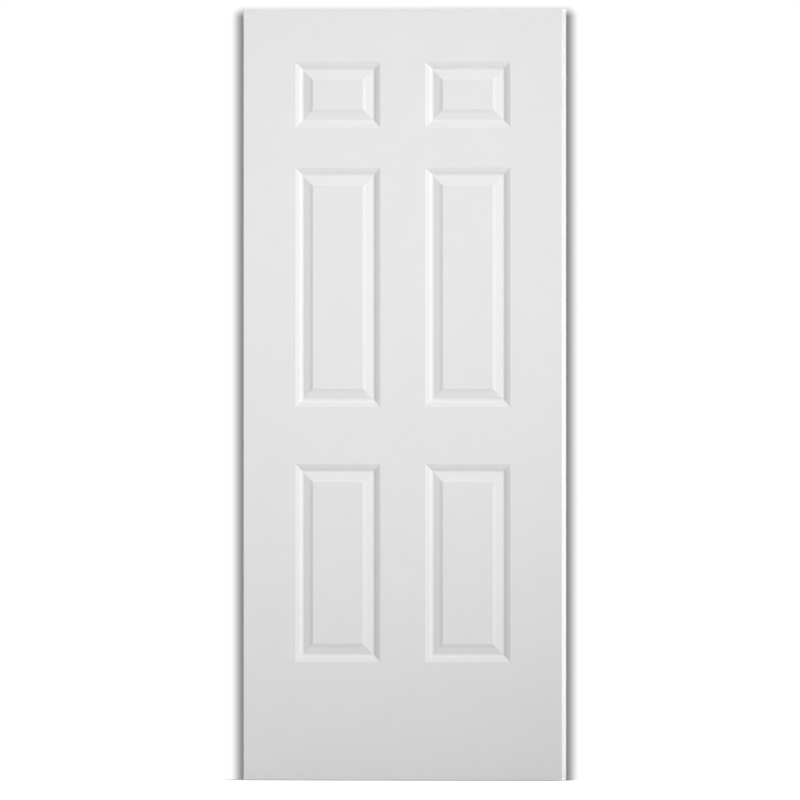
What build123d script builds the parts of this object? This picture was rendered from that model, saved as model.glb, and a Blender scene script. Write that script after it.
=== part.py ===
from build123d import *
import os

# Steel-faced entrance door leaf with six raised panels, standing upright.
# The outer face looks towards -Y, the width runs along X and the height along +Z.
# The origin is at the middle of the bottom edge, half-way through the thickness.
# All lengths are millimetres.

# Leaf
leaf_width = 857.25
leaf_height = 2012.95
leaf_thickness = 44.45
sheet = 0.6

# Flat bands of the face round and between the panels
side_band = 139.7
middle_band = 120.65
bottom_band = 307.975
lock_band = 149.225
frieze_band = 104.775
top_band = 136.525

# Panel outlines: the middle row takes up what the other rows leave
bottom_panel_height = 517.525
top_panel_height = 171.45

# Moulding round each panel, from its outline inwards
ovolo_width = 10.7
ovolo_fall = 2.6
flank_width = 8.3
groove_depth = 6.0
bevel_width = 18.8
bevel_rise = 2.8
lip_width = 9.5
field_drop = 0.75
face_round = 8.0
groove_round = 4.0
field_round = 3.0

# Folded edges of the two facings
edge_gap = 6.35
return_length = 8.0
inside_bend = 0.8
kerf_clearance = 0.3
kerf_end_room = 1.0
wood_edge_chamfer = 1.1

# Wood frame inside the leaf
stile_width = 31.75
top_rail_height = 31.75
bottom_rail_height = 38.1
lock_block_width = 88.9
lock_block_height = 355.6
lock_block_centre = 984.25

# Two grooves along the bottom edge for a push-in weather sweep
sweep_groove_width = 3.2
sweep_groove_depth = 12.7
sweep_groove_spacing = 25.4

# Pockets for three hinge leaves in the -X edge, open to the inner face
hinge_length = 101.6
hinge_pocket_depth = 2.4
hinge_backset = 6.35
hinge_corner_radius = 15.9
top_hinge_from_top = 177.8
bottom_hinge_from_bottom = 279.4
pilot_radius = 1.6
pilot_depth = 25.4
end_pilot_spacing = 79.4
end_pilot_inset = 22.2
inner_pilot_spacing = 31.8
inner_pilot_inset = 9.5

# Staples that hold the frame's corners
staple_wire = 1.6
staple_crown = 25.4
staple_leg = 19.0

# Worked out from the sizes above
panel_width = (leaf_width - 2 * side_band - middle_band) / 2
middle_panel_base = bottom_band + bottom_panel_height + lock_band
top_panel_base = leaf_height - top_band - top_panel_height
panel_columns = (side_band - leaf_width / 2, middle_band / 2)
panel_rows = (
    (bottom_band, bottom_panel_height),
    (middle_panel_base, top_panel_base - frieze_band - middle_panel_base),
    (top_panel_base, top_panel_height),
)
moulding_width = ovolo_width + flank_width + bevel_width + lip_width
outer_face = -leaf_thickness / 2
core_thickness = leaf_thickness - 2 * sheet
wood_edge = leaf_width / 2 - sheet
inner_edge = wood_edge - stile_width
frame_inside = leaf_height - top_rail_height - bottom_rail_height
hinge_pocket_floor = hinge_pocket_depth - leaf_width / 2
hinge_pocket_edge = outer_face + hinge_backset
bottom_hinge = bottom_hinge_from_bottom + hinge_length / 2
top_hinge = leaf_height - top_hinge_from_top - hinge_length / 2
hinge_centres = (bottom_hinge, (bottom_hinge + top_hinge) / 2, top_hinge)
# How far cutting shapes reach past the faces that they open
overrun = 1.0

os.makedirs("parts", exist_ok=True)


def finish(builder, name):
    """Label a finished piece and write its STEP file."""
    builder.part.label = name
    export_step(builder.part, f"parts/{name}.step")


def panel_space(left, base, height):
    """The room in front of one pressed panel, with a roof just outside the flat face."""
    right = left + panel_width
    top = base + height
    middle = base + height / 2
    roof = outer_face - overrun
    field_face = outer_face + field_drop
    groove = left + ovolo_width + flank_width
    field = left + moulding_width
    flat_start = (left - face_round, outer_face)
    crease = (left + ovolo_width, outer_face + ovolo_fall)
    lip_foot = (groove + bevel_width, outer_face + groove_depth - bevel_rise)
    flat_end = (field + field_round, field_face)
    with BuildPart() as space:
        with BuildLine() as outline:
            Polyline(
                (left, outer_face, middle),
                (left, outer_face, base),
                (right, outer_face, base),
                (right, outer_face, top),
                (left, outer_face, top),
                (left, outer_face, middle),
            )
        with BuildSketch(Plane.XY.offset(middle)):
            with BuildLine():
                FilletPolyline(flat_start, (left, outer_face), crease, radius=face_round)
                FilletPolyline(crease, (groove, outer_face + groove_depth), lip_foot, radius=groove_round)
                FilletPolyline(lip_foot, (field, field_face), flat_end, radius=field_round)
                Polyline(flat_end, (flat_end[0], roof), (flat_start[0], roof), flat_start)
            make_face()
        sweep(path=outline.wire(), transition=Transition.RIGHT)
        with BuildSketch(Plane.XZ.offset(-roof)):
            with Locations(((left + right) / 2, middle)):
                Rectangle(panel_width - 2 * moulding_width, height - 2 * moulding_width)
        extrude(amount=roof - field_face)
    return space.part


# Room in front of all six panels, cut from whatever carries the outer face
with BuildPart() as panel_spaces:
    for column in panel_columns:
        for row_base, row_height in panel_rows:
            add(panel_space(column, row_base, row_height))

# The same room one sheet deeper, which the pressed metal and its hollow take from the core
pressed = panel_spaces.part.moved(Location((0, sheet, 0)))

# Flat blocks over the panels, which bound the metal that is pressed inwards
with BuildPart() as pressed_metal:
    with BuildSketch(Plane.XZ.offset(-outer_face)):
        for column in panel_columns:
            for row_base, row_height in panel_rows:
                with Locations((column + panel_width / 2, row_base + row_height / 2)):
                    Rectangle(panel_width + 2 * face_round, row_height + 2 * face_round)
    extrude(amount=-groove_depth - 2 * sheet)
    add(pressed, mode=Mode.INTERSECT)

# One facing before its hinge pockets: a folded pan with its six panels pressed in
with BuildPart() as facing:
    fold_x = (leaf_width - sheet) / 2
    fold_y = outer_face + sheet / 2
    return_y = -(edge_gap + sheet) / 2
    return_x = leaf_width / 2 - return_length
    with BuildSketch() as pan:
        with BuildLine():
            FilletPolyline(
                (-return_x, return_y),
                (-fold_x, return_y),
                (-fold_x, fold_y),
                (fold_x, fold_y),
                (fold_x, return_y),
                (return_x, return_y),
                radius=inside_bend + sheet / 2,
            )
        trace(line_width=sheet)
    extrude(amount=leaf_height)
    add(pressed_metal.part)
    add(panel_spaces.part, mode=Mode.SUBTRACT)

# Room for the three hinge leaves, with round corners away from the open side
with BuildPart() as hinge_pockets:
    with BuildSketch(Plane.YZ.offset(-leaf_width / 2 - overrun)):
        pocket_width = -outer_face + overrun - hinge_pocket_edge
        for centre in hinge_centres:
            with Locations((hinge_pocket_edge + pocket_width / 2, centre)):
                pocket = Rectangle(pocket_width, hinge_length)
            fillet(pocket.vertices().group_by(Axis.Y)[0], hinge_corner_radius)
    extrude(amount=hinge_pocket_depth + overrun)

with BuildPart() as exterior_skin:
    add(facing.part)
    add(hinge_pockets.part, mode=Mode.SUBTRACT)
finish(exterior_skin, "exterior_skin")

with BuildPart() as interior_skin:
    mirror(facing.part, about=Plane.XZ)
    add(hinge_pockets.part, mode=Mode.SUBTRACT)
finish(interior_skin, "interior_skin")

# Corner staples: two at each corner of the frame, driven flush from opposite faces
with BuildPart() as corner_staples:
    for joint_height in (bottom_rail_height / 2, leaf_height - top_rail_height / 2):
        for side in (-1, 1):
            for face in (-1, 1):
                with BuildSketch(Plane.XY.offset(joint_height - staple_wire / 2)) as bent_wire:
                    near = side * inner_edge - (staple_crown - staple_wire) / 2
                    far = side * inner_edge + (staple_crown - staple_wire) / 2
                    crown_y = face * (core_thickness - staple_wire) / 2
                    tip_y = face * (core_thickness / 2 - staple_leg)
                    with BuildLine():
                        Polyline((near, tip_y), (near, crown_y), (far, crown_y), (far, tip_y))
                    trace(line_width=staple_wire)
                extrude(amount=staple_wire)
finish(corner_staples, "corner_staples")

# A stile as it is on the +X side, before its corners are stapled
with BuildPart() as stile:
    with BuildSketch() as stile_section:
        with Locations((wood_edge - stile_width / 2, 0)):
            Rectangle(stile_width, core_thickness)
        kerf_depth = return_length - sheet + kerf_end_room
        kerf_width = sheet + 2 * kerf_clearance
        with Locations((wood_edge - kerf_depth / 2, 0)):
            with GridLocations(0, edge_gap + sheet, 1, 2):
                Rectangle(kerf_depth, kerf_width, mode=Mode.SUBTRACT)
        chamfer(stile_section.vertices().group_by(Axis.X)[-1], wood_edge_chamfer)
    extrude(amount=leaf_height)

# The grooves run through the rail and both stiles
with BuildPart() as sweep_grooves:
    with BuildSketch():
        with GridLocations(0, sweep_groove_spacing, 1, 2):
            Rectangle(leaf_width, sweep_groove_width)
    extrude(amount=sweep_groove_depth)

with BuildPart() as lock_stile:
    add(stile.part)
    add(corner_staples.part, mode=Mode.SUBTRACT)
    add(sweep_grooves.part, mode=Mode.SUBTRACT)
finish(lock_stile, "lock_stile")

with BuildPart() as hinge_stile:
    mirror(stile.part, about=Plane.YZ)
    add(corner_staples.part, mode=Mode.SUBTRACT)
    add(sweep_grooves.part, mode=Mode.SUBTRACT)
    add(hinge_pockets.part, mode=Mode.SUBTRACT)
    with BuildSketch(Plane.YZ.offset(hinge_pocket_floor)):
        for centre in hinge_centres:
            for inset, spacing in (
                (end_pilot_inset, end_pilot_spacing),
                (inner_pilot_inset, inner_pilot_spacing),
            ):
                with Locations((hinge_pocket_edge + inset, centre)):
                    with GridLocations(0, spacing, 1, 2):
                        Circle(pilot_radius)
    extrude(amount=pilot_depth, mode=Mode.SUBTRACT)
finish(hinge_stile, "hinge_stile")

with BuildPart() as bottom_rail:
    with BuildSketch():
        Rectangle(2 * inner_edge, core_thickness)
    extrude(amount=bottom_rail_height)
    add(corner_staples.part, mode=Mode.SUBTRACT)
    add(sweep_grooves.part, mode=Mode.SUBTRACT)
finish(bottom_rail, "bottom_rail")

with BuildPart() as top_rail:
    with BuildSketch(Plane.XY.offset(leaf_height - top_rail_height)):
        Rectangle(2 * inner_edge, core_thickness)
    extrude(amount=top_rail_height)
    add(corner_staples.part, mode=Mode.SUBTRACT)
finish(top_rail, "top_rail")

with BuildPart() as lock_block:
    with BuildSketch(Plane.XY.offset(lock_block_centre - lock_block_height / 2)):
        with Locations((inner_edge - lock_block_width / 2, 0)):
            Rectangle(lock_block_width, core_thickness)
    extrude(amount=lock_block_height)
finish(lock_block, "lock_block")

# Foam fills what the skins, the frame and the lock block leave
with BuildPart() as foam_core:
    with BuildSketch(Plane.XY.offset(bottom_rail_height)):
        Rectangle(2 * inner_edge, core_thickness)
    extrude(amount=frame_inside)
    add(pressed, mode=Mode.SUBTRACT)
    mirror(pressed, about=Plane.XZ, mode=Mode.SUBTRACT)
    add(lock_block.part, mode=Mode.SUBTRACT)
finish(foam_core, "foam_core")
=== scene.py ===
"""Looks of a steel-faced entrance door leaf with six raised panels.

The two pressed facings are modelled as folded sheet metal in place of their plain solids, the
corner staples as bent wire, and the hinge stile as a cut copy of its solid. The other stile, the
rails, the lock block and the foam keep their solids. Every piece gets the finish of its own
material, and a plain pale studio stands round the leaf.
All lengths are metres, and angles are degrees where their name says so.
"""

from __future__ import annotations

import logging
import math
import sys
from collections.abc import Callable, Iterable
from dataclasses import dataclass, field, replace
from enum import Enum

import bmesh
import bpy
from mathutils import Matrix, Vector

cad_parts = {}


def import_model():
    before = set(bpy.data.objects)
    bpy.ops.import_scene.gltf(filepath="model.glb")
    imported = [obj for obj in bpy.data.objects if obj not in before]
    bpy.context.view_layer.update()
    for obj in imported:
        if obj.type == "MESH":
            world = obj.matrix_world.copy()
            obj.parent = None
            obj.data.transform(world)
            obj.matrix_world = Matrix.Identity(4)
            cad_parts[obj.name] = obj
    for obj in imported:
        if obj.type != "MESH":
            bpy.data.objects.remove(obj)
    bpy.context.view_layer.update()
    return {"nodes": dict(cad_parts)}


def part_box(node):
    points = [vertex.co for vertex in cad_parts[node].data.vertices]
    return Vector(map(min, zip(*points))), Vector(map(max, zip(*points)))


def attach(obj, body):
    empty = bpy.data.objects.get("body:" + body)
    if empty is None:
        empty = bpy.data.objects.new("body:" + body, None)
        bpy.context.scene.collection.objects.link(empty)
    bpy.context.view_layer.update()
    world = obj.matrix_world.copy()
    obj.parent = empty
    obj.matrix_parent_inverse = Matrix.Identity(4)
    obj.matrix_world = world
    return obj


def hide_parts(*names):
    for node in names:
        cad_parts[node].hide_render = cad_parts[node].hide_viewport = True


log = logging.getLogger("leaf")

Piece = bpy.types.Object
Material = bpy.types.Material
Tree = bpy.types.NodeTree
Node = bpy.types.Node
Socket = bpy.types.NodeSocket
Sockets = bpy.types.bpy_prop_collection
Colour = tuple[float, float, float]
Rgba = tuple[float, float, float, float]
Place = tuple[float, float, float]
Pair = tuple[float, float]
Test = Callable[[Vector, Vector], bool]

MERGE_DISTANCE = 1e-6
SMOOTH_ANGLE_DEG = 28.0
# Least cosine between an edge and the axis along which it counts as running
ALIGNED = 0.9
ACROSS = Vector((1.0, 0.0, 0.0))
UP = Vector((0.0, 0.0, 1.0))

PRIMER_WHITE: Colour = (0.86, 0.86, 0.855)
PRIMED_WOOD_WHITE: Colour = (0.86, 0.858, 0.85)
PINE: Colour = (0.74, 0.58, 0.39)
LATE_WOOD: Colour = (0.45, 0.29, 0.16)
FOAM_CREAM: Colour = (0.87, 0.80, 0.60)
ZINC_GREY: Colour = (0.60, 0.61, 0.62)


class Side(Enum):
    """The two faces of the leaf, by the direction of Y in which each one looks."""

    OUTER = -1
    INNER = 1


class Part(Enum):
    """Kinds of mesh element that can be selected, by Blender's names for its select modes."""

    EDGE = "EDGE"
    FACE = "FACE"


class Run(Enum):
    """Direction in which the grain of a piece of wood runs."""

    UPRIGHT = "upright"
    LEVEL = "level"


# Mesh tools


def take_only(piece: Piece) -> None:
    """Deselect everything and make one object the selected and active one.

    Args:
        piece: The object, in object mode.
    """
    bpy.ops.object.select_all(action="DESELECT")
    piece.select_set(True)
    bpy.context.view_layer.objects.active = piece


def open_all(piece: Piece) -> None:
    """Open a piece for editing, with all of it selected.

    Args:
        piece: The object, in object mode.
    """
    take_only(piece)
    bpy.ops.object.mode_set(mode="EDIT")
    bpy.ops.mesh.select_all(action="SELECT")


def close_piece() -> None:
    """Leave edit mode."""
    bpy.ops.object.mode_set(mode="OBJECT")


def start_piece(name: str) -> Piece:
    """Name the primitive that was just added, bake its place into its mesh and open it for editing.

    Args:
        name: Name of the object and of its mesh.

    Returns:
        The new object, in edit mode and with all of it selected.
    """
    piece = bpy.context.active_object
    piece.name = name
    piece.data.name = name
    take_only(piece)
    bpy.ops.object.transform_apply(location=True, rotation=True, scale=True)
    open_all(piece)
    return piece


def select(piece: Piece, part: Part, test: Test) -> None:
    """Select just the edges or just the faces of a piece that pass a test.

    Args:
        piece: The object in edit mode.
        part: The kind of element.
        test: Takes the element's middle and its direction, which is the normal of a face or the
            unit vector along an edge.
    """
    bpy.context.tool_settings.mesh_select_mode = [False, part is Part.EDGE, part is Part.FACE]
    mesh = bmesh.from_edit_mesh(piece.data)
    mesh.select_mode = {part.value}
    for element in (*mesh.verts, *mesh.edges, *mesh.faces):
        element.select_set(False)
    for element in mesh.edges if part is Part.EDGE else mesh.faces:
        if part is Part.EDGE:
            first, second = (vertex.co for vertex in element.verts)
            middle, direction = (first + second) / 2, (second - first).normalized()
        else:
            middle, direction = element.calc_center_median(), element.normal
        if test(middle, direction):
            element.select_set(True)
    mesh.select_flush_mode()
    bmesh.update_edit_mesh(piece.data)


def extrude_edges(offset: Vector) -> None:
    """Extrude the selected edges by an offset."""
    bpy.ops.mesh.extrude_edges_move(TRANSFORM_OT_translate={"value": offset})


def extrude_region(offset: Vector) -> None:
    """Extrude the selected faces by an offset."""
    bpy.ops.mesh.extrude_region_move(TRANSFORM_OT_translate={"value": offset})


def spin_quarter(centre: Vector, facets: int, way: int = 1) -> None:
    """Spin the selection a quarter turn about an upright axis, the way given as 1 or -1."""
    bpy.ops.mesh.spin(steps=facets, angle=-way * math.pi / 2, center=centre, axis=UP)


def apply_modifier(piece: Piece, kind: str, **settings: object) -> None:
    """Add a modifier to a piece in object mode and apply it.

    Args:
        piece: The object.
        kind: The modifier's type.
        settings: Values of the modifier's own properties.
    """
    take_only(piece)
    bpy.ops.object.modifier_add(type=kind)
    modifier = piece.modifiers[-1]
    for name, value in settings.items():
        setattr(modifier, name, value)
    bpy.ops.object.modifier_apply(modifier=modifier.name)


def copy_piece(piece: Piece, name: str) -> Piece:
    """Duplicate a piece in object mode, with a mesh of its own.

    Args:
        piece: The object to copy.
        name: Name of the copy and of its mesh.

    Returns:
        The copy, selected and active.
    """
    take_only(piece)
    bpy.ops.object.duplicate(linked=False)
    twin = bpy.context.active_object
    twin.name = name
    twin.data.name = name
    return twin


def clean_shell(piece: Piece) -> None:
    """Merge the doubles of a closed piece and turn its faces outwards.

    Args:
        piece: The object, in object mode.
    """
    open_all(piece)
    bpy.ops.mesh.remove_doubles(threshold=MERGE_DISTANCE)
    bpy.ops.mesh.normals_make_consistent(inside=False)
    close_piece()


def cut_away(piece: Piece, cutter: Piece) -> None:
    """Take a cutter's room out of a closed piece in object mode."""
    apply_modifier(piece, "BOOLEAN", object=cutter, operation="DIFFERENCE", solver="EXACT")
    clean_shell(piece)


def smooth_by_angle() -> None:
    """Shade the active piece smooth between its sharp and its marked edges."""
    bpy.ops.object.shade_smooth_by_angle(angle=math.radians(SMOOTH_ANGLE_DEG))


def put_on(piece: Piece, material: Material) -> None:
    """Put one material on all of a piece.

    Args:
        piece: A new piece or a CAD node.
        material: The finish.
    """
    if not piece.material_slots:
        piece.data.materials.append(material)
    for slot in piece.material_slots:
        slot.material = material
    log.info("%s: %d faces, %s", piece.name, len(piece.data.polygons), material.name)


# Sheet metal


@dataclass(frozen=True)
class Corner:
    """One corner of a moulding's section.

    Attributes:
        across: Distance in from the panel's outline.
        depth: Distance behind the flat face.
        radius: Radius of the round at this corner.
    """

    across: float
    depth: float
    radius: float = 0.0


@dataclass(frozen=True)
class Moulding:
    """Section of the pressing round a panel, from its outline inwards.

    The gentle ovolo falls to a crease, the steeper flank to the groove, and the crowned bevel and
    the lip rise to the field, which stays a little behind the flat face.

    Attributes:
        lead: Flat stretch before the ovolo and after the lip.
        facet_turn_deg: Largest turn from one facet of a round to the next.
    """

    ovolo_width: float = 0.0107
    ovolo_fall: float = 0.00275
    flank_width: float = 0.0083
    groove_depth: float = 0.0063
    bevel_width: float = 0.0188
    bevel_rise: float = 0.00285
    bevel_crown: float = 0.00025
    lip_width: float = 0.0095
    field_drop: float = 0.00075
    face_round: float = 0.006
    crease_round: float = 0.001
    groove_round: float = 0.012
    crown_round: float = 0.19
    lip_foot_round: float = 0.045
    field_round: float = 0.002
    lead: float = 0.0016
    facet_turn_deg: float = 2.4
    least_facets: int = 3

    def corners(self) -> list[Corner]:
        """List the section's corners, with a short flat lead at each end.

        Returns:
            The corners in order, going inwards.
        """
        groove = self.ovolo_width + self.flank_width
        lip_foot = groove + self.bevel_width
        lip_depth = self.groove_depth - self.bevel_rise
        crown = groove + self.bevel_width / 2
        crown_depth = self.groove_depth - self.bevel_rise / 2 - self.bevel_crown
        end = lip_foot + self.lip_width
        return [
            Corner(-self.lead, 0.0),
            Corner(0.0, 0.0, self.face_round),
            Corner(self.ovolo_width, self.ovolo_fall, self.crease_round),
            Corner(groove, self.groove_depth, self.groove_round),
            Corner(crown, crown_depth, self.crown_round),
            Corner(lip_foot, lip_depth, self.lip_foot_round),
            Corner(end, self.field_drop, self.field_round),
            Corner(end + self.lead, self.field_drop),
        ]

    def points(self) -> list[Vector]:
        """Work out the section's points, with each corner rounded by short facets.

        Returns:
            Points as (across, depth), from the flat face to the field.
        """
        corners = self.corners()
        spots = [Vector((corner.across, corner.depth)) for corner in corners]
        points = [spots[0]]
        for before, corner, here, after in zip(spots, corners[1:-1], spots[1:-1], spots[2:]):
            way_in = (here - before).normalized()
            way_out = (after - here).normalized()
            turn = math.atan2(way_in.cross(way_out), way_in.dot(way_out))
            tangent = corner.radius * math.tan(abs(turn) / 2)
            facets = max(self.least_facets, math.ceil(abs(math.degrees(turn)) / self.facet_turn_deg))
            inward = Vector((-way_in.y, way_in.x)) * math.copysign(corner.radius, turn)
            centre = here - way_in * tangent + inward
            for step in range(facets + 1):
                points.append(centre + Matrix.Rotation(turn * step / facets, 2) @ -inward)
        points.append(spots[-1])
        return points


@dataclass
class PressedFacing:
    """The two steel facings: folded pans with six panels pressed in.

    The outer one is pressed, folded and copied, and the copy is mirrored for the inner face.

    Attributes:
        sheet: Thickness of the steel.
        edge_gap: Distance between the two facings' returns.
        return_length: Length of the turned end that sits in a stile's kerf.
        support: Narrow strip of flat sheet beside a bend, which keeps the bend's shading there.
        overrun: How far the hinge leaves' room goes past the leaf.
        mitre_slack: Largest difference in slope of an edge that counts as a mitre.
        mitre_least: Least slope of such an edge.
    """

    moulding: Moulding = field(default_factory=Moulding)
    sheet: float = 0.0006
    side_band: float = 0.1397
    middle_band: float = 0.12065
    bottom_band: float = 0.307975
    lock_band: float = 0.149225
    frieze_band: float = 0.104775
    top_band: float = 0.136525
    bottom_panel_height: float = 0.517525
    top_panel_height: float = 0.17145
    edge_gap: float = 0.00635
    return_length: float = 0.008
    outside_bend: float = 0.0014
    bend_facets: int = 10
    support: float = 0.0008
    hinge_length: float = 0.1016
    hinge_pocket_depth: float = 0.0024
    hinge_backset: float = 0.00635
    hinge_corner_radius: float = 0.0159
    hinge_corner_facets: int = 14
    top_hinge_from_top: float = 0.1778
    bottom_hinge_from_bottom: float = 0.2794
    overrun: float = 0.002
    mitre_slack: float = 0.02
    mitre_least: float = 0.1

    def __post_init__(self) -> None:
        """Read the leaf's overall size from its solids."""
        low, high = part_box("exterior_skin")
        self.half_width = high.x
        self.height = high.z
        self.outer_face = low.y

    def panel_outlines(self) -> tuple[list[float], list[float]]:
        """List the places of the panels' outlines.

        Returns:
            The outlines' X places and Z places, each in rising order and in pairs.
        """
        outer = self.half_width - self.side_band
        inner = self.middle_band / 2
        first = self.bottom_band
        second = first + self.bottom_panel_height + self.lock_band
        third = self.height - self.top_band - self.top_panel_height
        return (
            [-outer, -inner, inner, outer],
            [
                first,
                first + self.bottom_panel_height,
                second,
                third - self.frieze_band,
                third,
                third + self.top_panel_height,
            ],
        )

    def press(self) -> Piece:
        """Make the flat face and press the six panels into it.

        Returns:
            An open surface that looks towards -Y, in edit mode.
        """
        flat = self.half_width - self.outside_bend
        centre = (0.0, self.outer_face, self.height / 2)
        bpy.ops.mesh.primitive_plane_add(size=1.0, location=centre, rotation=(math.pi / 2, 0.0, 0.0))
        piece = start_piece("pressed_sheet")
        bpy.ops.transform.resize(value=(2 * flat, 1.0, self.height), center_override=centre)
        across, up = self.panel_outlines()
        beside_bends = [self.support - flat, flat - self.support]
        for axis, places in (
            (ACROSS, self.spread_pairs(across)),
            (UP, self.spread_pairs(up)),
            (ACROSS, beside_bends),
        ):
            for place in places:
                bpy.ops.mesh.select_all(action="SELECT")
                bpy.ops.mesh.bisect(plane_co=axis * place, plane_no=axis)
        select(
            piece,
            Part.FACE,
            lambda middle, _: self.in_pairs(middle.x, across) and self.in_pairs(middle.z, up),
        )
        points = self.moulding.points()
        for before, after in zip(points, points[1:]):
            step = after - before
            bpy.ops.mesh.inset(thickness=step.x, depth=-step.y, use_even_offset=True)
        return piece

    def spread_pairs(self, outlines: list[float]) -> list[float]:
        """Move the two outlines of each pair apart by the moulding's lead."""
        lead = self.moulding.lead
        return [place + (lead if index % 2 else -lead) for index, place in enumerate(outlines)]

    @staticmethod
    def in_pairs(place: float, outlines: list[float]) -> bool:
        """Say whether a place lies between the two outlines of a pair."""
        return any(low < place < high for low, high in zip(outlines[::2], outlines[1::2]))

    def fold(self, piece: Piece) -> None:
        """Fold the two long edges back and turn their ends into the stiles' kerfs.

        Args:
            piece: The pressed surface, in edit mode.
        """
        bend = self.outside_bend
        return_face = -self.edge_gap / 2
        flange_end = return_face - bend
        for side in (-1, 1):
            flat = side * (self.half_width - bend)
            select(piece, Part.EDGE, lambda middle, _: abs(middle.x - flat) < MERGE_DISTANCE)
            spin_quarter(Vector((flat, self.outer_face + bend, 0.0)), self.bend_facets, side)
            extrude_edges(Vector((0.0, self.support, 0.0)))
            extrude_edges(Vector((0.0, flange_end - self.outer_face - bend - 2 * self.support, 0.0)))
            extrude_edges(Vector((0.0, self.support, 0.0)))
            spin_quarter(Vector((flat, flange_end, 0.0)), self.bend_facets, side)
            extrude_edges(Vector((-side * (self.return_length - bend), 0.0, 0.0)))

    def pocket_cutter(self, edge: float, rounded: bool) -> Piece:
        """Make the room of the three hinge leaves, open to the inner face, as one cutting object.

        Args:
            edge: Place in Y at which the room begins.
            rounded: Whether its two corners at that edge are round.

        Returns:
            The cutter, in object mode.
        """
        far = self.overrun - self.outer_face
        low = self.bottom_hinge_from_bottom + self.hinge_length / 2
        high = self.height - self.top_hinge_from_top - self.hinge_length / 2
        depth = self.hinge_pocket_depth + self.overrun
        place = Vector((self.hinge_pocket_depth - depth / 2 - self.half_width, (edge + far) / 2, low))
        bpy.ops.mesh.primitive_cube_add(size=1.0, location=place)
        cutter = start_piece("hinge_pocket_cutter")
        bpy.ops.transform.resize(value=(depth, far - edge, self.hinge_length), center_override=place)
        if rounded:
            select(
                cutter,
                Part.EDGE,
                lambda middle, way: abs(way.x) > ALIGNED and abs(middle.y - edge) < MERGE_DISTANCE,
            )
            bpy.ops.mesh.bevel(
                offset=self.hinge_corner_radius, segments=self.hinge_corner_facets, affect="EDGES"
            )
        bpy.ops.mesh.select_all(action="SELECT")
        for _ in range(2):
            bpy.ops.mesh.duplicate_move(TRANSFORM_OT_translate={"value": (0.0, 0.0, (high - low) / 2)})
        close_piece()
        return cutter

    def finish_mesh(self, piece: Piece, cutter: Piece) -> None:
        """Give the folded surface its thickness, cut the hinge pockets and set its shading.

        Args:
            piece: The folded surface, in object mode, its faces turned outwards.
            cutter: The room of the hinge leaves.
        """
        apply_modifier(
            piece,
            "SOLIDIFY",
            thickness=self.sheet,
            offset=-1.0,
            use_even_offset=True,
            use_quality_normals=True,
        )
        cut_away(piece, cutter)
        open_all(piece)
        select(piece, Part.EDGE, lambda _, way: self.is_mitre(way))
        bpy.ops.mesh.mark_sharp()
        close_piece()
        smooth_by_angle()

    def is_mitre(self, way: Vector) -> bool:
        """Say whether an edge runs at 45 degrees, as where two mouldings meet in a corner."""
        return abs(abs(way.x) - abs(way.z)) < self.mitre_slack and abs(way.x) > self.mitre_least

    def build(self) -> dict[str, Piece]:
        """Build both facings.

        Returns:
            The finished pieces by the name of the CAD node that each one stands for.
        """
        outer = self.press()
        self.fold(outer)
        close_piece()
        outer.name = "outer_facing"
        inner = copy_piece(outer, "inner_facing")
        open_all(inner)
        bpy.ops.transform.resize(value=(1.0, -1.0, 1.0), center_override=(0.0, 0.0, 0.0))
        close_piece()
        cutter = self.pocket_cutter(self.outer_face + self.hinge_backset, rounded=True)
        for piece, side in ((outer, Side.OUTER), (inner, Side.INNER)):
            self.face_outwards(piece, side)
            self.finish_mesh(piece, cutter)
        bpy.data.objects.remove(cutter)
        return {"exterior_skin": outer, "interior_skin": inner}

    @staticmethod
    def face_outwards(piece: Piece, side: Side) -> None:
        """Flip an open surface whose flat face doesn't look away from the leaf.

        Args:
            piece: The surface, in object mode.
            side: The face of the leaf on which it lies.
        """
        open_all(piece)
        bpy.ops.mesh.normals_make_consistent(inside=False)
        close_piece()
        flat = max(piece.data.polygons, key=lambda polygon: polygon.area)
        if flat.normal.y * side.value < 0:
            open_all(piece)
            bpy.ops.mesh.flip_normals()
            close_piece()

    def dress(self, pieces: dict[str, Piece], steel: Material) -> None:
        """Give both facings their finish and put them in place of their solids.

        Args:
            pieces: The facings by the name of the CAD node that each one stands for.
            steel: Primed steel.
        """
        for node, piece in pieces.items():
            put_on(piece, steel)
            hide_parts(node)
            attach(piece, "root")


# Finishes


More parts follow.
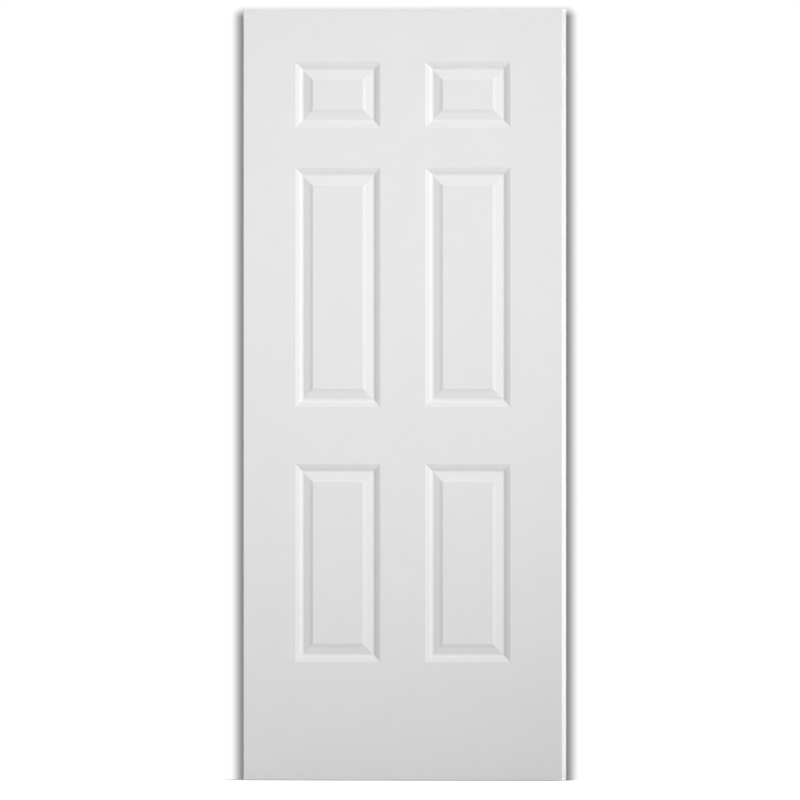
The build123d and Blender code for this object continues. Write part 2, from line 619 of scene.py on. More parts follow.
class Nodes:
    """A node tree with short calls for adding and joining nodes."""

    def __init__(self, tree: Tree) -> None:
        """Keep the tree that the calls work on."""
        self.tree = tree

    def add(self, kind: str, settings: dict[str, object] | None = None, **inputs: object) -> Node:
        """Add a node.

        Args:
            kind: The node's type, without its ShaderNode prefix.
            settings: Values of the node's own properties.
            inputs: Values or source sockets by input name, with _ for a space.

        Returns:
            The new node.
        """
        node = self.tree.nodes.new(f"ShaderNode{kind}")
        for name, value in (settings or {}).items():
            setattr(node, name, value)
        for name, value in inputs.items():
            self.feed(node.inputs[name.replace("_", " ")], value)
        return node

    def feed(self, socket: Socket, value: object) -> None:
        """Set an input to a value, or link a source socket to it.

        Args:
            socket: The input.
            value: A value or a source socket.
        """
        if isinstance(value, Socket):
            self.tree.links.new(value, socket)
        else:
            socket.default_value = value

    def join(self, kind: str, settings: dict[str, object], *values: object) -> Node:
        """Add a node and feed its first inputs in their order.

        Args:
            kind: The node's type, without its ShaderNode prefix.
            settings: Values of the node's own properties.
            values: Values or source sockets, one for each input.

        Returns:
            The new node.
        """
        node = self.add(kind, settings)
        for socket, value in zip(node.inputs, values):
            self.feed(socket, value)
        return node

    def math(self, operation: str, *values: object) -> Socket:
        """Work out a number from one or two others and return its socket."""
        return self.join("Math", {"operation": operation}, *values).outputs["Value"]

    def vector(self, operation: str, *values: object) -> Socket:
        """Work out a vector from one or two others and return its socket."""
        return self.join("VectorMath", {"operation": operation}, *values).outputs["Vector"]

    def length(self, vector: object) -> Socket:
        """Measure a vector and return the length's socket."""
        return self.join("VectorMath", {"operation": "LENGTH"}, vector).outputs["Value"]

    def blend(self, share: float, first: object, second: object) -> Socket:
        """Weigh two numbers, the first by a share from 0 to 1, and return the sum's socket."""
        rest = self.math("MULTIPLY", second, 1.0 - share)
        return self.math("ADD", self.math("MULTIPLY", first, share), rest)

    def group(self, tree: Tree, **inputs: object) -> Node:
        """Add a node group, with its inputs given as for add, and return its node."""
        return self.add("Group", {"node_tree": tree}, **inputs)

    def seen(self) -> Socket:
        """Say whether a ray comes from the camera, straight or through a mirror or glass.

        Returns:
            A socket that is 1 for such a ray and 0 for any other.
        """
        rays = self.add("LightPath").outputs
        straight = self.math("MAXIMUM", rays["Is Camera Ray"], rays["Is Glossy Ray"])
        return self.math("MAXIMUM", straight, rays["Is Transmission Ray"])

    def choose(self, share: object, first: object, second: object) -> Socket:
        """Mix two shaders by a share from 0 to 1 and return the shader's socket."""
        return self.join("MixShader", {}, share, first, second).outputs["Shader"]

    def noise(self, place: object, scale: object, detail: float = 2.0, roughness: float = 0.5) -> Socket:
        """Add a noise texture and return the socket of its value from 0 to 1."""
        node = self.add("TexNoise", Vector=place, Scale=scale, Detail=detail, Roughness=roughness)
        return node.outputs["Fac"]

    def spread(
        self, value: object, low: float, high: float, to_low: float = 0.0, to_high: float = 1.0
    ) -> Socket:
        """Map a range of a number onto another one, with clamped ends.

        Args:
            value: The number's socket.
            low: Start of its range.
            high: End of its range.
            to_low: What the start becomes.
            to_high: What the end becomes.

        Returns:
            The result's socket.
        """
        return self.join("MapRange", {}, value, low, high, to_low, to_high).outputs["Result"]

    def mix(self, share: object, first: object, second: object) -> Socket:
        """Mix two colours.

        Args:
            share: Share of the second colour, from 0 to 1.
            first: A colour or its socket.
            second: A colour or its socket.

        Returns:
            The mixed colour's socket.
        """
        node = self.add("Mix", {"data_type": "RGBA"}, Factor=share)
        first_socket, second_socket = (socket for socket in node.inputs if socket.type == "RGBA")
        self.feed(first_socket, first)
        self.feed(second_socket, second)
        return next(socket for socket in node.outputs if socket.type == "RGBA")


def rgba(colour: Colour, share: float = 1.0) -> Rgba:
    """Scale a colour and add full opacity."""
    red, green, blue = (channel * share for channel in colour)
    return (red, green, blue, 1.0)


def grey(level: float) -> Rgba:
    """Make an even grey with full opacity."""
    return (level, level, level, 1.0)


def new_material(name: str) -> tuple[Material, Nodes]:
    """Start a material.

    Args:
        name: Name of the material.

    Returns:
        The material and its empty node tree.
    """
    material = bpy.data.materials.new(name)
    material.use_nodes = True
    material.node_tree.nodes.clear()
    return material, Nodes(material.node_tree)


def new_group(
    name: str, inputs: dict[str, str], outputs: dict[str, str]
) -> tuple[Nodes, Sockets, Sockets]:
    """Start a shader node group.

    Args:
        name: The group's name.
        inputs: Socket types by input name.
        outputs: Socket types by output name.

    Returns:
        The group's nodes, what it is given and what it puts out, by socket name.
    """
    tree = bpy.data.node_groups.new(name, "ShaderNodeTree")
    for sockets, direction in ((inputs, "INPUT"), (outputs, "OUTPUT")):
        for socket, kind in sockets.items():
            tree.interface.new_socket(name=socket, in_out=direction, socket_type=f"NodeSocket{kind}")
    given = tree.nodes.new("NodeGroupInput").outputs
    result = tree.nodes.new("NodeGroupOutput").inputs
    return Nodes(tree), given, result


@dataclass
class Effects:
    """Surface effects that several finishes share, each one a node group.

    Attributes:
        gentle_slope: Sine of the slope up to which a pressed surface counts as sloped in full.
        folded_slope: Sine of the slope from which it is a folded edge, not a pressed slope.
        fine_ratio: Fine clouds to each soft one.
        cloud_share: Share of the soft clouds in the tone.
        tone_ends: Values of the noise at the thinnest and the thickest coat.
        grit_ratio: Grains of grit to each bump of the orange peel.
        peel_share: Share of the bumps in the height.
        ragged_scale: Notches to the metre in the edge of a smudge.
        smudge_edge: Distances, in radii, at which a smudge is gone and full.
        fibre_stretch: Scale of the wood's place along each axis.
        heart: Place of the rings' middle.
        drift_scale: Waves to the metre in the rings.
        drift_strength: How far these waves bend the rings.
    """

    gentle_slope: float = 0.3
    folded_slope: float = 0.6
    fine_ratio: float = 9.0
    cloud_share: float = 0.6
    tone_ends: Pair = (0.3, 0.7)
    grit_ratio: float = 3.3
    peel_share: float = 0.75
    ragged_scale: float = 45.0
    smudge_edge: Pair = (1.5, 0.5)
    fibre_stretch: Place = (1.0, 1.0, 0.05)
    heart: Place = (0.11, 0.07, 0.0)
    drift_scale: float = 14.0
    drift_strength: float = 3.0

    def __post_init__(self) -> None:
        """Build the groups once."""
        self.coat = self.sprayed_coat()
        self.smudge = self.handling_smudge()
        self.grain = self.wood_grain()
        self.slope = self.slope_shade_mask()

    def slope_shade_mask(self) -> Tree:
        """Find the slopes that face sideways on a pressed sheet, where shade is painted into the primer.

        Returns:
            A group that takes the object's own normal and puts out Mask, 0 on flat sheet and on
            folded edges and 1 on the sideways slopes of the mouldings.
        """
        nodes, given, result = new_group("slope_shade_mask", {"Normal": "Vector"}, {"Mask": "Float"})
        sine = nodes.math("ABSOLUTE", nodes.add("SeparateXYZ", Vector=given["Normal"]).outputs["X"])
        sloped = nodes.spread(sine, 0.0, self.gentle_slope)
        pressed = nodes.spread(sine, self.folded_slope, 1.0, 1.0, 0.0)
        nodes.feed(result["Mask"], nodes.math("MULTIPLY", sloped, pressed))
        return nodes.tree

    def sprayed_coat(self) -> Tree:
        """Make a sprayed primer: soft clouds of tone and a fine orange peel.

        Returns:
            A group that puts out Tone and Peel, each from 0 to 1.
        """
        nodes, given, result = new_group(
            "sprayed_coat",
            {"Vector": "Vector", "Cloud Scale": "Float", "Peel Scale": "Float"},
            {"Tone": "Float", "Peel": "Float"},
        )
        place = given["Vector"]
        fine_scale = nodes.math("MULTIPLY", given["Cloud Scale"], self.fine_ratio)
        grit_scale = nodes.math("MULTIPLY", given["Peel Scale"], self.grit_ratio)
        cloud = nodes.noise(place, given["Cloud Scale"], detail=4.0, roughness=0.6)
        fine = nodes.noise(place, fine_scale, detail=3.0)
        peel = nodes.noise(place, given["Peel Scale"], detail=1.5)
        grit = nodes.noise(place, grit_scale, detail=1.0)
        nodes.feed(result["Tone"], nodes.spread(nodes.blend(self.cloud_share, cloud, fine), *self.tone_ends))
        nodes.feed(result["Peel"], nodes.blend(self.peel_share, peel, grit))
        return nodes.tree

    def handling_smudge(self) -> Tree:
        """Make a soft, ragged mark where the coat was rubbed.

        Returns:
            A group that puts out Mask, 1 in the middle of the mark and 0 outside it.
        """
        nodes, given, result = new_group(
            "handling_smudge",
            {"Vector": "Vector", "Centre": "Vector", "Stretch": "Vector", "Radius": "Float"},
            {"Mask": "Float"},
        )
        offset = nodes.vector("SUBTRACT", given["Vector"], given["Centre"])
        away = nodes.length(nodes.vector("MULTIPLY", offset, given["Stretch"]))
        notches = nodes.noise(given["Vector"], self.ragged_scale, detail=3.0)
        ragged = nodes.math("ADD", nodes.math("DIVIDE", away, given["Radius"]), notches)
        nodes.feed(result["Mask"], nodes.spread(ragged, *self.smudge_edge))
        return nodes.tree

    def wood_grain(self) -> Tree:
        """Make sawn softwood grain that runs along Z of the given place.

        Returns:
            A group that puts out Rings and Fibres, each from 0 to 1.
        """
        nodes, given, result = new_group(
            "wood_grain",
            {"Vector": "Vector", "Ring Scale": "Float", "Fibre Scale": "Float"},
            {"Rings": "Float", "Fibres": "Float"},
        )
        long = nodes.add("Mapping", Vector=given["Vector"], Scale=self.fibre_stretch).outputs["Vector"]
        drift = nodes.noise(long, self.drift_scale, detail=2.0)
        rings = nodes.add(
            "TexWave",
            {"wave_type": "RINGS", "rings_direction": "Z", "wave_profile": "SAW"},
            Vector=nodes.add("Mapping", Vector=long, Location=self.heart).outputs["Vector"],
            Scale=given["Ring Scale"],
            Distortion=nodes.math("MULTIPLY", drift, self.drift_strength),
            Detail=2.0,
        )
        nodes.feed(result["Rings"], rings.outputs["Fac"])
        nodes.feed(result["Fibres"], nodes.noise(long, given["Fibre Scale"], detail=3.0, roughness=0.65))
        return nodes.tree


@dataclass(frozen=True)
class Finish:
    """A finish on one kind of surface.

    Attributes:
        name: The material's name.
        colour: Base colour, as it renders under plain light.
        roughness: Middle roughness.
        rough_swing: What the pattern adds to the roughness at its lowest and at its highest.
        tones: Shares of the colour at the lowest and at the highest tone of the coat.
        cloud_scale: Clouds of tone to the metre.
        peel_scale: Bumps of the coat to the metre.
        metallic: 1 for bare metal.
    """

    name: str
    colour: Colour
    roughness: float
    rough_swing: Pair = (-0.04, 0.04)
    tones: Pair = (0.985, 1.015)
    cloud_scale: float = 7.0
    peel_scale: float = 620.0
    metallic: float = 0.0


class Coating(Nodes):
    """The nodes of one finish: a Principled shader, the place on the object and a toned coat."""

    def __init__(self, finish: Finish, effects: Effects) -> None:
        """Start the material.

        Args:
            finish: The finish to build.
            effects: The shared node groups.
        """
        self.finish = finish
        self.material, nodes = new_material(finish.name)
        super().__init__(nodes.tree)
        self.material.diffuse_color = rgba(finish.colour)
        self.shader = self.add("BsdfPrincipled", Metallic=finish.metallic)
        self.add("OutputMaterial", Surface=self.shader.outputs["BSDF"])
        where = self.add("TexCoord").outputs
        self.place, self.normal = where["Object"], where["Normal"]
        self.coat = self.group(
            effects.coat, Vector=self.place, Cloud_Scale=finish.cloud_scale, Peel_Scale=finish.peel_scale
        ).outputs
        low, high = (rgba(finish.colour, share) for share in finish.tones)
        self.toned = self.mix(self.coat["Tone"], low, high)

    def rough(self, pattern: object, low: float = 0.0, high: float = 1.0) -> Socket:
        """Swing the roughness over a pattern.

        Args:
            pattern: The pattern's socket.
            low: Its lowest value.
            high: Its highest value.

        Returns:
            The roughness's socket.
        """
        least, most = (self.finish.roughness + swing for swing in self.finish.rough_swing)
        return self.spread(pattern, low, high, least, most)

    def done(self, colour: object, roughness: object, height: object, relief: float) -> Material:
        """Feed the shader.

        Args:
            colour: Socket of the base colour.
            roughness: Socket of the roughness.
            height: Socket of the surface's height, from 0 to 1.
            relief: The real height of 1.

        Returns:
            The finished material.
        """
        bump = self.add("Bump", Height=height, Distance=relief, Strength=1.0)
        self.feed(self.shader.inputs["Base Color"], colour)
        self.feed(self.shader.inputs["Roughness"], roughness)
        self.feed(self.shader.inputs["Normal"], bump.outputs["Normal"])
        return self.material


@dataclass(frozen=True)
class SprayedPrimer(Finish):
    """White factory primer on pressed steel: satin, faintly clouded, with a fine orange peel.

    Attributes:
        painted_slope_shade: How much darker the mouldings' sideways slopes are painted, as painted shade.
        peel_height: Height of the orange peel.
        rub_centre: Middle of the pale rubbed mark, on the outer face between the lower panels.
        rub_radius: Its half-width.
        rub_stretch: How much shorter it is along each axis.
        rub_gain: How much paler the mark is.
        rub_share: How much of the clouds it hides.
        rub_polish: How much less rough it is.
    """

    painted_slope_shade: float = 0.065
    peel_height: float = 0.00003
    rub_centre: Place = (0.0, -0.022, 0.535)
    rub_radius: float = 0.05
    rub_stretch: Place = (1.0, 4.0, 1.6)
    rub_gain: float = 0.014
    rub_share: float = 0.8
    rub_polish: float = 0.05

    def make(self, effects: Effects) -> Material:
        """Build the material.

        Args:
            effects: Node groups that the finishes share.

        Returns:
            The primer's material.
        """
        coating = Coating(self, effects)
        rub = coating.group(
            effects.smudge,
            Vector=coating.place,
            Centre=self.rub_centre,
            Stretch=self.rub_stretch,
            Radius=self.rub_radius,
        ).outputs["Mask"]
        pale = rgba(self.colour, self.tones[1] + self.rub_gain)
        rubbed = coating.mix(coating.math("MULTIPLY", rub, self.rub_share), coating.toned, pale)
        # Painted shade: the mouldings' sideways slopes are painted darker by the tilt of their normal.
        slope = coating.group(effects.slope, Normal=coating.normal).outputs["Mask"]
        colour = coating.mix(slope, rubbed, rgba(self.colour, 1.0 - self.painted_slope_shade))
        polish = coating.math("MULTIPLY", rub, -self.rub_polish)
        rough = coating.math("ADD", coating.rough(coating.coat["Tone"]), polish)
        return coating.done(colour, rough, coating.coat["Peel"], self.peel_height)


@dataclass(frozen=True)
class Wood(Finish):
    """Softwood, bare or under a thin white primer that lets the grain show in relief.

    Attributes:
        cover: Share of the grain's colour that the primer hides.
        run: Direction of the grain.
        late_colour: Colour of the dark late wood between the rings.
        ring_scale: Scale of the rings.
        ring_sharpness: Power that narrows the late wood.
        ring_share: Share of the rings in the dark grain, beside the fibres.
        fibre_scale: Fibres to the metre.
        streak_ends: Values of the fibres between which they darken.
        rough_ends: Values of the fibres between which the roughness swings.
        fibre_relief: Share of the fibres in the relief, beside the rings.
        relief: Height of the raised grain.
    """

    rough_swing: Pair = (-0.08, 0.08)
    tones: Pair = (0.985, 1.01)
    cloud_scale: float = 22.0
    peel_scale: float = 900.0
    cover: float = 0.0
    run: Run = Run.UPRIGHT
    late_colour: Colour = LATE_WOOD
    ring_scale: float = 26.0
    ring_sharpness: float = 2.2
    ring_share: float = 0.65
    fibre_scale: float = 420.0
    streak_ends: Pair = (0.25, 0.75)
    rough_ends: Pair = (0.2, 0.8)
    fibre_relief: float = 0.7
    relief: float = 0.00012

    def make(self, effects: Effects) -> Material:
        """Build the material.

        Args:
            effects: Node groups that the finishes share.

        Returns:
            The wood's material.
        """
        coating = Coating(self, effects)
        turn = (0.0, math.pi / 2, 0.0) if self.run is Run.LEVEL else (0.0, 0.0, 0.0)
        along = coating.add("Mapping", Vector=coating.place, Rotation=turn).outputs["Vector"]
        grain = coating.group(
            effects.grain, Vector=along, Ring_Scale=self.ring_scale, Fibre_Scale=self.fibre_scale
        ).outputs
        rings = coating.math("POWER", grain["Rings"], self.ring_sharpness)
        streaks = coating.spread(grain["Fibres"], *self.streak_ends)
        dark = coating.math("MULTIPLY", coating.blend(self.ring_share, rings, streaks), 1.0 - self.cover)
        colour = coating.mix(dark, coating.toned, rgba(self.late_colour))
        raised = coating.blend(self.fibre_relief, grain["Fibres"], rings)
        return coating.done(colour, coating.rough(grain["Fibres"], *self.rough_ends), raised, self.relief)


@dataclass(frozen=True)
class PouredFoam(Finish):
    """Stiff cream foam with small closed cells and a skin that is darker in patches.

    Attributes:
        cell_scale: Cells to the metre.
        cell_edge: Distance from a cell's middle at which it is deepest, in cells.
        cell_share: Share of the cells' own colour where they are deepest.
        cell_tone: Share of the colour that is left in the cells.
        cell_depth: Depth of the cells on the surface.
    """

    rough_swing: Pair = (-0.1, 0.0)
    tones: Pair = (0.9, 1.03)
    cloud_scale: float = 9.0
    peel_scale: float = 260.0
    cell_scale: float = 900.0
    cell_edge: float = 0.6
    cell_share: float = 0.3
    cell_tone: float = 0.72
    cell_depth: float = 0.0004

    def make(self, effects: Effects) -> Material:
        """Build the material.

        Args:
            effects: Node groups that the finishes share.

        Returns:
            The foam's material.
        """
        coating = Coating(self, effects)
        cells = coating.add("TexVoronoi", Vector=coating.place, Scale=self.cell_scale)
        depth = coating.spread(cells.outputs["Distance"], 0.0, self.cell_edge)
        share = coating.math("MULTIPLY", depth, self.cell_share)
        colour = coating.mix(share, coating.toned, rgba(self.colour, self.cell_tone))
        return coating.done(colour, coating.rough(depth), depth, self.cell_depth)


@dataclass(frozen=True)
class DrawnWire(Finish):
    """Zinc-coated steel wire with fine lines from drawing and dull patches.

    Attributes:
        line_scale: Lines to the metre.
        line_stretch: Scale of the lines' place along each axis.
        line_ends: Values of the lines between which the roughness swings.
        line_depth: Depth of the lines.
    """

    rough_swing: Pair = (-0.1, 0.12)
    tones: Pair = (0.82, 1.08)
    cloud_scale: float = 160.0
    peel_scale: float = 2400.0
    metallic: float = 1.0
    line_scale: float = 2600.0
    line_stretch: Place = (0.06, 0.06, 1.0)
    line_ends: Pair = (0.3, 0.7)
    line_depth: float = 0.00001

    def make(self, effects: Effects) -> Material:
        """Build the material.

        Args:
            effects: Node groups that the finishes share.

        Returns:
            The wire's material.
        """
        coating = Coating(self, effects)
        drawn = coating.add("Mapping", Vector=coating.place, Scale=self.line_stretch).outputs["Vector"]
        lines = coating.noise(drawn, self.line_scale)
        return coating.done(coating.toned, coating.rough(lines, *self.line_ends), lines, self.line_depth)


# Wood, foam and staples


@dataclass
class WoodFrame:
    """Stiles and rails, which keep their solids, apart from the hinge stile's pockets.

    Attributes:
        open_from: Place in Y from which the pockets are open, square, to the inner face.
    """

    hinge_side: str = "hinge_stile"
    lock_side: str = "lock_stile"
    level: tuple[str, ...] = ("top_rail", "bottom_rail")
    open_from: float = 0.0062

    def build(self, nodes: dict[str, Piece], facing: PressedFacing) -> Piece:
        """Copy the hinge stile and open its pockets to the inner face, where a hinge leaf lies.

        Args:
            nodes: The solids by name.
            facing: The facings, which give the pockets' room.

        Returns:
            The cut stile.
        """
        stile = copy_piece(nodes[self.hinge_side], "cut_hinge_stile")
        bpy.ops.mesh.customdata_custom_splitnormals_clear()
        clean_shell(stile)
        cutter = facing.pocket_cutter(self.open_from, rounded=False)
        cut_away(stile, cutter)
        bpy.data.objects.remove(cutter)
        smooth_by_angle()
        return stile

    def dress(self, stile: Piece, nodes: dict[str, Piece], upright: Material, level: Material) -> None:
        """Give the stiles upright grain and the rails level grain, under white primer.

        Args:
            stile: The cut hinge stile, which takes its solid's place.
            nodes: The solids by name.
            upright: Wood with upright grain.
            level: Wood with level grain.
        """
        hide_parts(self.hinge_side)
        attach(stile, "root")
        for piece in (stile, nodes[self.hinge_side], nodes[self.lock_side]):
            put_on(piece, upright)
        for name in self.level:
            put_on(nodes[name], level)


@dataclass
class Core:
    """Lock block and foam, which keep their solids."""

    block: str = "lock_block"
    foam: str = "foam_core"

    def dress(self, nodes: dict[str, Piece], wood: Material, foam: Material) -> None:
        """Give the block its bare wood and the core its foam."""
        put_on(nodes[self.block], wood)
        put_on(nodes[self.foam], foam)


@dataclass
class CornerStaples:
    """Eight staples of square wire, two at each corner of the wood frame.

    Attributes:
        wire: Thickness of the wire.
        crown: Outside width of a staple.
        leg: Its depth, from the crown to the tips.
        point: Length of a leg's tapered tip.
        tip_share: Share of the wire's width that is left at the tip.
        joint_x: Middle of the joint between a stile and a rail.
    """

    wire: float = 0.0016
    crown: float = 0.0254
    leg: float = 0.019
    inside_bend: float = 0.0007
    point: float = 0.0022
    tip_share: float = 0.25
    bend_facets: int = 6
    edge_round: float = 0.0002
    edge_facets: int = 2
    edge_angle_deg: float = 50.0
    joint_x: float = 0.396275

    def __post_init__(self) -> None:
        """Read the staples' reach from their solids."""
        low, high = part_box("corner_staples")
        self.face = high.y
        self.joint_heights = (low.z + self.wire / 2, high.z - self.wire / 2)

    def bend_one(self) -> Piece:
        """Bend one staple in the outer face of the lower lock-side corner.

        Returns:
            The staple, in object mode.
        """
        half_wire = self.wire / 2
        left = self.joint_x - self.crown / 2
        tip = self.leg - self.face
        height = self.joint_heights[0]
        bend = self.inside_bend + self.wire
        spot = (left + half_wire, tip - self.point, height)
        bpy.ops.mesh.primitive_plane_add(size=self.wire, location=spot, rotation=(math.pi / 2, 0.0, 0.0))
        staple = start_piece("bent_staples")
        legs_end = bend - self.face
        extrude_region(Vector((0.0, legs_end - spot[1], 0.0)))
        spin_quarter(Vector((left + bend, legs_end, height)), self.bend_facets)
        extrude_region(Vector((self.crown - 2 * bend, 0.0, 0.0)))
        spin_quarter(Vector((left + self.crown - bend, legs_end, height)), self.bend_facets)
        extrude_region(Vector((0.0, spot[1] - legs_end, 0.0)))
        bpy.ops.mesh.select_all(action="SELECT")
        bpy.ops.mesh.normals_make_consistent(inside=False)
        for x in (left + half_wire, left + self.crown - half_wire):
            select(
                staple,
                Part.FACE,
                lambda middle, _: abs(middle.x - x) < half_wire and abs(middle.y - spot[1]) < MERGE_DISTANCE,
            )
            extrude_region(Vector((0.0, self.point, 0.0)))
            bpy.ops.transform.resize(value=(self.tip_share, 1.0, 1.0), center_override=(x, tip, height))
        close_piece()
        clean_shell(staple)
        apply_modifier(
            staple,
            "BEVEL",
            width=self.edge_round,
            segments=self.edge_facets,
            limit_method="ANGLE",
            angle_limit=math.radians(self.edge_angle_deg),
        )
        return staple

    def build(self) -> Piece:
        """Bend one staple and copy it to all eight places.

        Returns:
            One object that holds the eight staples.
        """
        staple = self.bend_one()
        open_all(staple)
        rise = self.joint_heights[1] - self.joint_heights[0]
        bpy.ops.mesh.duplicate_move(TRANSFORM_OT_translate={"value": (0.0, 0.0, rise)})
        for mirrored in ((-1.0, 1.0, 1.0), (1.0, -1.0, 1.0)):
            bpy.ops.mesh.select_all(action="SELECT")
            bpy.ops.mesh.duplicate()
            bpy.ops.transform.resize(value=mirrored, center_override=(0.0, 0.0, 0.0))
        bpy.ops.mesh.select_all(action="SELECT")
        bpy.ops.mesh.normals_make_consistent(inside=False)
        close_piece()
        smooth_by_angle()
        return staple

    def dress(self, staples: Piece, wire: Material) -> None:
        """Give the staples their wire and put them in place of their solids.

        Args:
            staples: The object that holds all eight.
            wire: Drawn wire.
        """
        put_on(staples, wire)
        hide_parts("corner_staples")
        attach(staples, "root")


# Studio


@dataclass(frozen=True)
class Softbox:
    """A rectangular lamp.

    Attributes:
        name: Name of the lamp.
        place: Its middle.
        aim: The point it looks at.
        size: Width and height.
        watts: Its power.
        spread_deg: Angle to which a grid in front of it narrows its light, or 180 with none.
    """

    name: str
    place: Place
    aim: Place
    size: Pair
    watts: float
    spread_deg: float = 180.0

    def hang(self) -> None:
        """Put the lamp in the scene."""
        lamp = bpy.data.lights.new(self.name, "AREA")
        lamp.shape = "RECTANGLE"
        lamp.size, lamp.size_y = self.size
        lamp.energy = self.watts
        lamp.spread = math.radians(self.spread_deg)
        stand = bpy.data.objects.new(self.name, lamp)
        bpy.context.scene.collection.objects.link(stand)
        stand.location = self.place
        stand.rotation_euler = (Vector(self.aim) - Vector(self.place)).to_track_quat("-Z", "Y").to_euler()


@dataclass(frozen=True)
class Paper:
    """A sheet of studio paper: white to the camera, with a painted soft shadow where the leaf is close.

    Attributes:
        name: Name of the sheet and of its material.
        size: Width and height of the sheet.
        place: Middle of the sheet.
        shade_middle: Middle of the box from which the painted shadow spreads.
        shade_half: Half the size of that box.
        stretch: Factor on the distance from the box, for each axis.
        near: Glow right at the box, where the painted shadow is darkest.
        reach: Distance at which the glow is full and the painted shadow ends.
        upright: Whether the sheet hangs, looks towards -Y and is clear from behind.
        bounce: How much of the light that falls on it the sheet shows to the camera.
        fill: How much of it the sheet gives back to the leaf.
    """

    name: str
    size: Pair
    place: Place
    shade_middle: Place
    shade_half: Place
    stretch: Place
    near: float
    reach: float
    upright: bool = False
    bounce: float = 0.5
    fill: float = 0.06

    def lay(self) -> None:
        """Put the sheet in the scene."""
        turn = (math.pi / 2 if self.upright else 0.0, 0.0, 0.0)
        bpy.ops.mesh.primitive_plane_add(size=1.0, location=self.place, rotation=turn)
        sheet = start_piece(self.name)
        width, height = self.size
        value = (width, 1.0, height) if self.upright else (width, height, 1.0)
        bpy.ops.transform.resize(value=value, center_override=self.place)
        close_piece()
        put_on(sheet, self.make())
        if self.upright:
            sheet.visible_shadow = False
            sheet.visible_diffuse = False

    def make(self) -> Material:
        """Build the material.

        Returns:
            A glow with a painted soft shadow for the camera, and a dull sheet for every other ray.
        """
        material, nodes = new_material(self.name)
        from_middle = nodes.vector("SUBTRACT", nodes.add("TexCoord").outputs["Object"], self.shade_middle)
        beyond = nodes.vector("SUBTRACT", nodes.vector("ABSOLUTE", from_middle), self.shade_half)
        distance = nodes.length(nodes.vector("MULTIPLY", nodes.vector("MAXIMUM", beyond), self.stretch))
        ramp = {"interpolation_type": "SMOOTHSTEP"}
        # Painted shadow: the glow is dimmed near the leaf's box, from near right at it to full at reach.
        light = nodes.join("MapRange", ramp, distance, 0.0, self.reach, self.near, 1.0).outputs["Result"]
        glow = nodes.add("Emission", Strength=light).outputs["Emission"]
        lit, dull = (
            nodes.add("BsdfDiffuse", Color=grey(level)).outputs["BSDF"] for level in (self.bounce, self.fill)
        )
        shown = nodes.join("AddShader", {}, glow, lit).outputs["Shader"]
        shown = nodes.choose(nodes.seen(), dull, shown)
        if self.upright:
            behind = nodes.add("NewGeometry").outputs["Backfacing"]
            shown = nodes.choose(behind, shown, nodes.add("BsdfTransparent").outputs["BSDF"])
        nodes.add("OutputMaterial", Surface=shown)
        return material


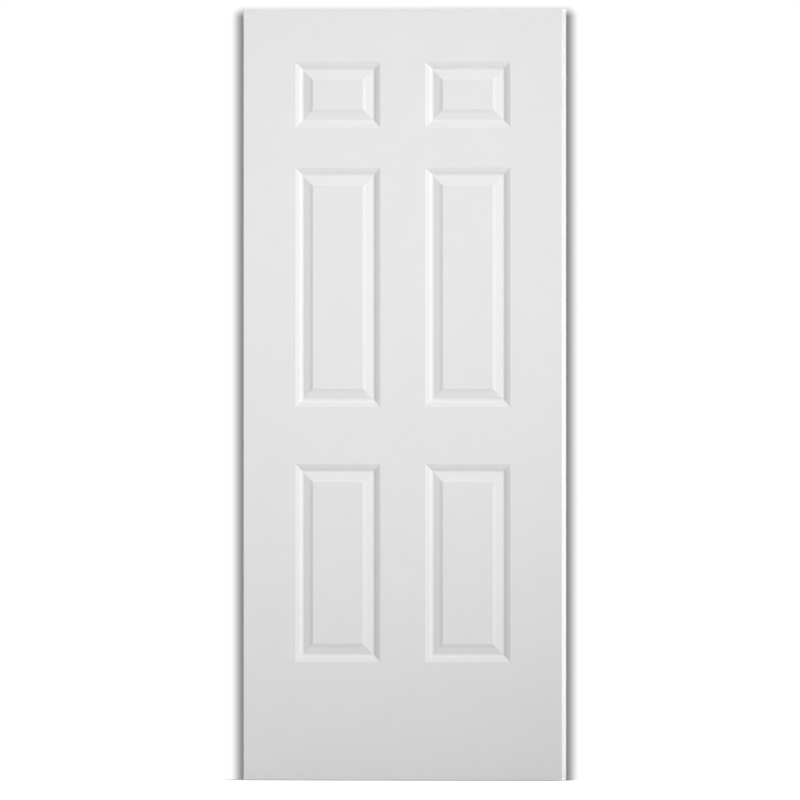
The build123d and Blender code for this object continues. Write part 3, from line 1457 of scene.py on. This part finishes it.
@dataclass
class Studio:
    """Pale floor and backdrop, soft lamps and the photograph's camera, which is level.

    Attributes:
        picture_px: Width and height of the photograph.
        face_left_px: Left edge of the leaf's outer face in it.
        face_top_px: Top edge of that face.
        face_bottom_px: Bottom edge of that face.
        azimuth_deg: How far to the right of the leaf the camera stands.
        backdrop_gap: Distance between the leaf's inner face and the backdrop.
        backdrop_drop: How far the painted shadow on the backdrop lies below the leaf.
        ambient: Strength of the world as a light.
    """

    picture_px: float = 800.0
    face_left_px: float = 243.4
    face_top_px: float = 10.2
    face_bottom_px: float = 779.5
    azimuth_deg: float = 13.5
    lens_mm: float = 1500.0
    sensor_mm: float = 36.0
    floor_width: float = 90.0
    backdrop_size: Pair = (6.0, 4.0)
    backdrop_gap: float = 0.012
    backdrop_drop: float = 0.021
    ambient: float = 0.12

    def set_camera(self) -> None:
        """Place the camera so that the leaf's outer face lies where the photograph shows it."""
        low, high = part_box("exterior_skin")
        around = math.radians(self.azimuth_deg)
        back = Vector((math.sin(around), -math.cos(around), 0.0))
        turn = back.to_track_quat("Z", "Y")
        pixel = high.z / (self.face_bottom_px - self.face_top_px)
        middle = self.picture_px / 2
        aim = Vector((low.x, low.y, (self.face_bottom_px - middle) * pixel))
        aim += turn @ ACROSS * (middle - self.face_left_px) * pixel
        distance = self.picture_px * pixel * self.lens_mm / self.sensor_mm
        camera = bpy.data.cameras.new("photo_camera")
        camera.lens = self.lens_mm
        camera.sensor_width = self.sensor_mm
        camera.clip_end = 2 * distance
        holder = bpy.data.objects.new("photo_camera", camera)
        bpy.context.scene.collection.objects.link(holder)
        holder.location = aim + back * distance
        holder.rotation_euler = turn.to_euler()
        bpy.context.scene.camera = holder

    def lay_paper(self) -> None:
        """Lay the floor and hang the backdrop close behind the leaf, each with a painted shadow round the
        leaf.
        """
        low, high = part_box("exterior_skin")
        half_width, half_depth = high.x, -low.y
        Paper(
            "studio_floor",
            size=(self.floor_width, self.floor_width),
            place=(0.0, 0.0, 0.0),
            shade_middle=(0.0, 0.0, 0.0),
            shade_half=(half_width, half_depth, 0.0),
            stretch=(14.0, 2.6, 1.0),
            near=0.04,
            reach=1.0,
            bounce=0.3,
        ).lay()
        back = half_depth + self.backdrop_gap
        slant = math.tan(math.radians(self.azimuth_deg))
        seen_left = -half_width - slant * (back + half_depth)
        seen_right = half_width - slant * self.backdrop_gap
        Paper(
            "studio_backdrop",
            size=self.backdrop_size,
            place=(0.0, back, self.backdrop_size[1] / 2),
            shade_middle=((seen_left + seen_right) / 2, back, high.z / 2 - self.backdrop_drop),
            shade_half=((seen_right - seen_left) / 2, 0.0, high.z / 2),
            stretch=(1.0, 1.0, 1.0),
            near=0.25,
            reach=0.036,
            upright=True,
            bounce=0.0,
        ).lay()

    def light(self) -> None:
        """Hang the lamps and set the world: white to the camera and dim as a light."""
        for softbox in (
            Softbox(
                "key",
                place=(1.71, -3.78, 2.24),
                aim=(-0.374, -1.761, 1.477),
                size=(4.42, 3.34),
                watts=92.5,
                spread_deg=94.6,
            ),
            Softbox("edge", place=(1.9, 0.2, 1.6), aim=(0.43, 0.0, 1.6), size=(0.6, 2.4), watts=10.5),
            Softbox("low_edge", place=(1.9, 0.2, 0.35), aim=(0.43, 0.0, 0.2), size=(0.6, 0.6), watts=9.0),
            Softbox("top", place=(0.0, 0.9, 3.6), aim=(0.0, 0.0, 1.6), size=(2.4, 0.8), watts=14.0),
            Softbox("back", place=(-2.2, 3.6, 1.9), aim=(0.0, 0.0, 1.0), size=(2.6, 2.4), watts=140.0),
            Softbox("hinge_edge", place=(-1.9, 0.2, 1.0), aim=(-0.43, 0.0, 1.0), size=(0.6, 2.2), watts=10.0),
        ):
            softbox.hang()
        scene = bpy.context.scene
        world = bpy.data.worlds.new("studio")
        scene.world = world
        world.use_nodes = True
        world.node_tree.nodes.clear()
        nodes = Nodes(world.node_tree)
        strength = nodes.spread(nodes.seen(), 0.0, 1.0, self.ambient, 1.0)
        glow = nodes.add("Background", Color=grey(1.0), Strength=strength)
        nodes.add("OutputWorld", Surface=glow.outputs["Background"])
        scene.view_settings.view_transform = "Standard"


def main() -> None:
    """Build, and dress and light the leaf."""
    logging.basicConfig(level=logging.INFO, format="%(name)s: %(message)s", stream=sys.stdout)
    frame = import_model()
    nodes = frame["nodes"]
    studio = Studio()
    studio.set_camera()
    effects = Effects()
    facing = PressedFacing()
    facing.dress(facing.build(), SprayedPrimer("sprayed_primer", PRIMER_WHITE, roughness=0.5).make(effects))
    frame_wood = Wood("primed_upright_wood", PRIMED_WOOD_WHITE, roughness=0.6, cover=0.94)
    level_wood = replace(frame_wood, name="primed_level_wood", run=Run.LEVEL)
    wood = WoodFrame()
    wood.dress(wood.build(nodes, facing), nodes, frame_wood.make(effects), level_wood.make(effects))
    bare = Wood("bare_pine", PINE, roughness=0.7).make(effects)
    foam = PouredFoam("poured_foam", FOAM_CREAM, roughness=0.9).make(effects)
    Core().dress(nodes, bare, foam)
    staples = CornerStaples()
    staples.dress(staples.build(), DrawnWire("drawn_wire", ZINC_GREY, roughness=0.38).make(effects))
    studio.lay_paper()
    studio.light()


if __name__ == "__main__":
    main()
